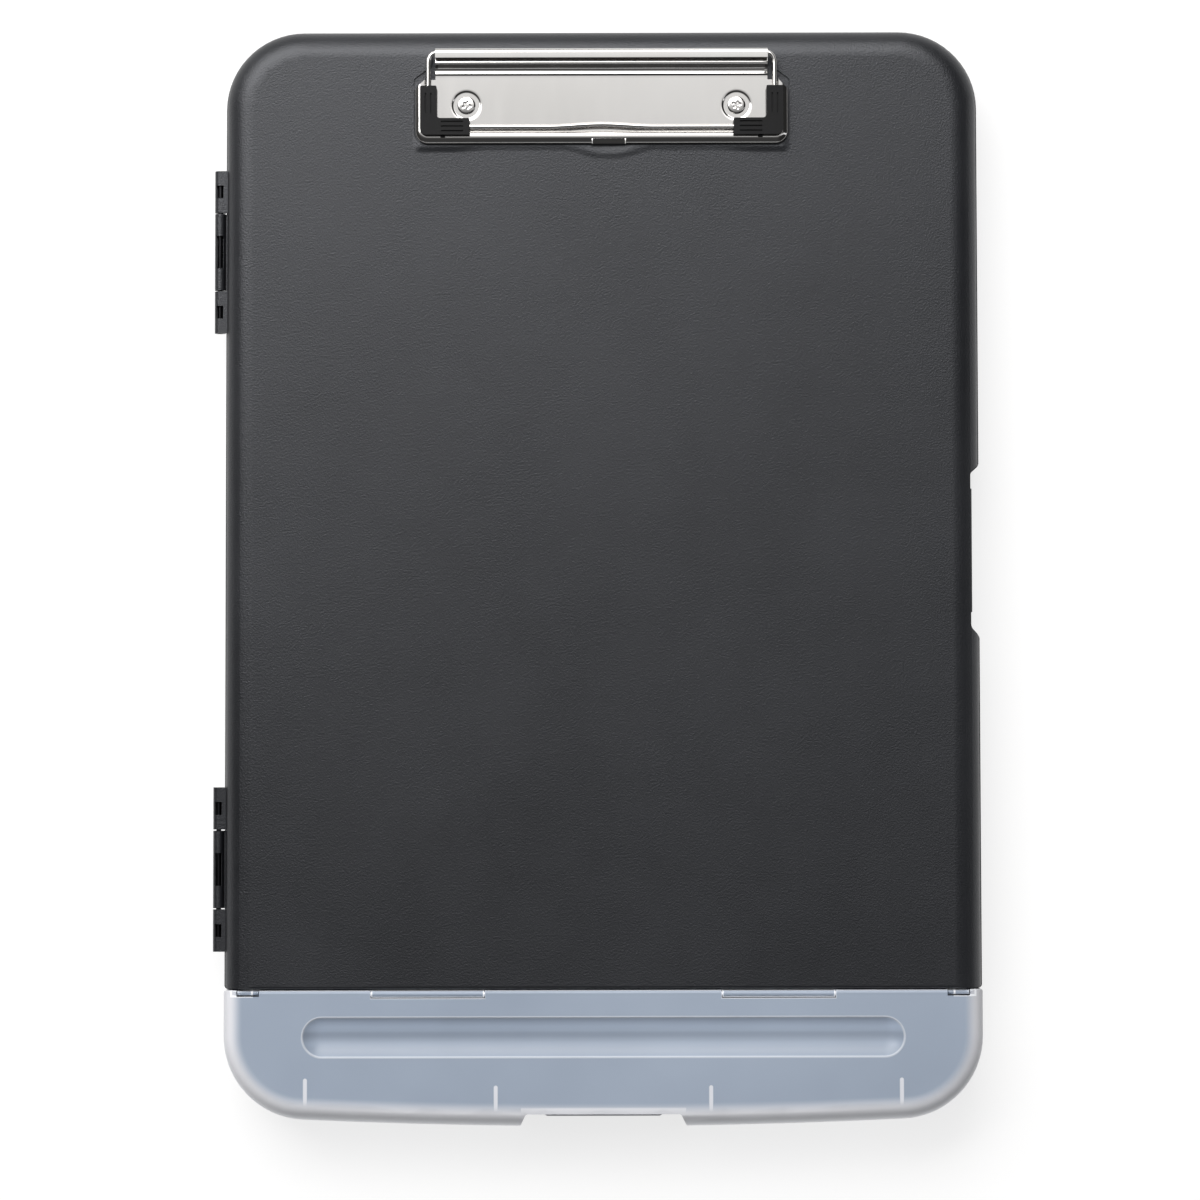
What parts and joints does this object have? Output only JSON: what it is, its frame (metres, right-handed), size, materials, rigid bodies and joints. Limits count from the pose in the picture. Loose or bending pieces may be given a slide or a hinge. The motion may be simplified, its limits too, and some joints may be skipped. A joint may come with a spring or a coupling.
{
  "type": "storage clipboard box",
  "caption": "Hinged storage clipboard box with a low-profile paper clip on its cover and a translucent pen box with its own hinged lid at the foot.",
  "frame": {"origin": "middle of the case on its flat back face", "axes": "+X towards the latch side, +Y towards the clip end, +Z out of the writing face"},
  "size_m": [0.2447, 0.3498, 0.0302],
  "materials": {
    "black_plastic": "black with a fine leather grain",
    "clear_plastic": "milky translucent",
    "nickel": "bright nickel plate",
    "grip_rubber": "dull black",
    "steel": "drawn wire"
  },
  "bodies": {
    "base": {"base_tray": "black_plastic", "hinge_pin_upper": "steel", "hinge_pin_lower": "steel", "pen_tray": "clear_plastic"},
    "cover": {"cover": "black_plastic", "clip_plate": "nickel", "rivet_left": "nickel", "rivet_right": "nickel", "washer_left": "steel", "washer_right": "steel"},
    "latch": {"latch": "black_plastic"},
    "bail": {"clip_wire": "nickel", "boot_left": "grip_rubber", "boot_right": "grip_rubber"},
    "pen_lid": {"pen_lid": "clear_plastic"}
  },
  "joints": [
    {"name": "cover_hinge", "type": "hinge", "parent": "base", "child": "cover", "pos_m": [-0.12245, 0, 0.017], "axis": [0, -1, 0], "range_deg": [0, 180]},
    {"name": "latch_hinge", "type": "hinge", "parent": "cover", "child": "latch", "pos_m": [0.1162, 0.0076, 0.0212], "axis": [0, -1, 0], "range_deg": [0, 30]},
    {"name": "bail_hinge", "type": "hinge", "parent": "cover", "child": "bail", "pos_m": [0, 0.1662, 0.0287], "axis": [-1, 0, 0], "range_deg": [0, 90], "stiffness_Nm_per_rad": 0.02, "springref_deg": -20.05},
    {"name": "pen_lid_hinge", "type": "hinge", "parent": "base", "child": "pen_lid", "pos_m": [0, -0.1329, 0.0239], "axis": [-1, 0, 0], "range_deg": [0, 105]}
  ]
}
